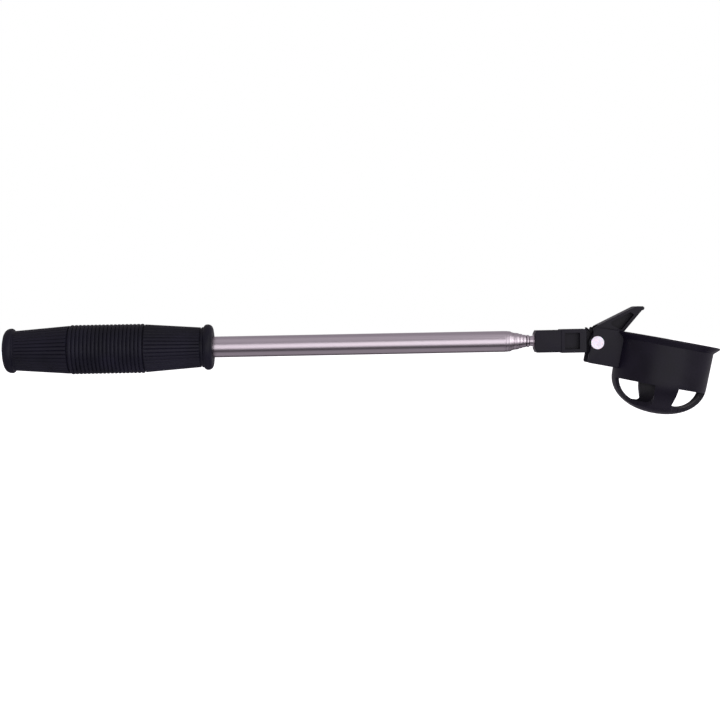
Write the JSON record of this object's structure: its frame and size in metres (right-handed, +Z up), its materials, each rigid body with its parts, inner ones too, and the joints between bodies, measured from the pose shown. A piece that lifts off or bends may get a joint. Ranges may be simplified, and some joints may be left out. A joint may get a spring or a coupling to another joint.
{
  "type": "telescopic golf ball retriever",
  "caption": "Collapsed telescopic pole with a ribbed hand grip, nested steel tubes and a hinged plastic cup with a sprung hook, for picking up golf balls.",
  "frame": {"origin": "centre of the flat butt face of the grip, on the shaft's axis", "axes": "+X along the shaft from the grip to the scoop, +Z up out of the scoop's mouth, +Y across, along the pivot"},
  "size_m": [0.376, 0.056, 0.0577],
  "materials": {
    "grip_rubber": "satin",
    "tube_steel": "satin",
    "bush_brass": "machined",
    "head_plastic": "moulded",
    "inner_plastic": "moulded",
    "rivet_nylon": "polished",
    "spring_steel": "drawn wire"
  },
  "bodies": {
    "handle": {"grip": "grip_rubber", "butt_plug": "inner_plastic", "tube_1": "tube_steel"},
    "section_2": {"tube_2": "tube_steel", "bush_2": "bush_brass"},
    "section_3": {"tube_3": "tube_steel", "bush_3": "bush_brass"},
    "section_4": {"tube_4": "tube_steel", "bush_4": "bush_brass"},
    "section_5": {"tube_5": "tube_steel", "bush_5": "bush_brass"},
    "section_6": {"bush_6": "bush_brass"},
    "head": {"tube_6": "tube_steel", "tip_spigot": "tube_steel", "head_insert": "bush_brass", "head_connector": "head_plastic"},
    "cup": {"scoop": "head_plastic", "rivet_barrel": "rivet_nylon", "rivet_stud": "rivet_nylon", "lever_spring": "spring_steel"},
    "lever": {"lock_lever": "head_plastic"}
  },
  "joints": [
    {"name": "tube_2_slide", "type": "slide", "parent": "handle", "child": "section_2", "axis": [1, 0, 0], "range_m": [0, 0.235]},
    {"name": "tube_3_slide", "type": "slide", "parent": "section_2", "child": "section_3", "axis": [1, 0, 0], "range_m": [0, 0.235]},
    {"name": "tube_4_slide", "type": "slide", "parent": "section_3", "child": "section_4", "axis": [1, 0, 0], "range_m": [0, 0.235]},
    {"name": "tube_5_slide", "type": "slide", "parent": "section_4", "child": "section_5", "axis": [1, 0, 0], "range_m": [0, 0.235]},
    {"name": "tube_6_slide", "type": "slide", "parent": "section_5", "child": "section_6", "axis": [1, 0, 0], "range_m": [0, 0.235]},
    {"name": "head_swivel", "type": "hinge", "parent": "section_6", "child": "head", "pos_m": [0.27, 0, 0], "axis": [1, 0, 0], "continuous": true},
    {"name": "scoop_tilt", "type": "hinge", "parent": "head", "child": "cup", "pos_m": [0.3108, 0, -0.0013], "axis": [0, 1, 0], "range_deg": [-12, 60], "deforming": ["lever_spring"]},
    {"name": "lever_open", "type": "hinge", "parent": "cup", "child": "lever", "pos_m": [0.3108, 0, -0.0013], "axis": [0, -1, 0], "range_deg": [0, 20], "stiffness_Nm_per_rad": 0.12, "springref_deg": -11.46, "deforming": ["lever_spring"]}
  ]
}
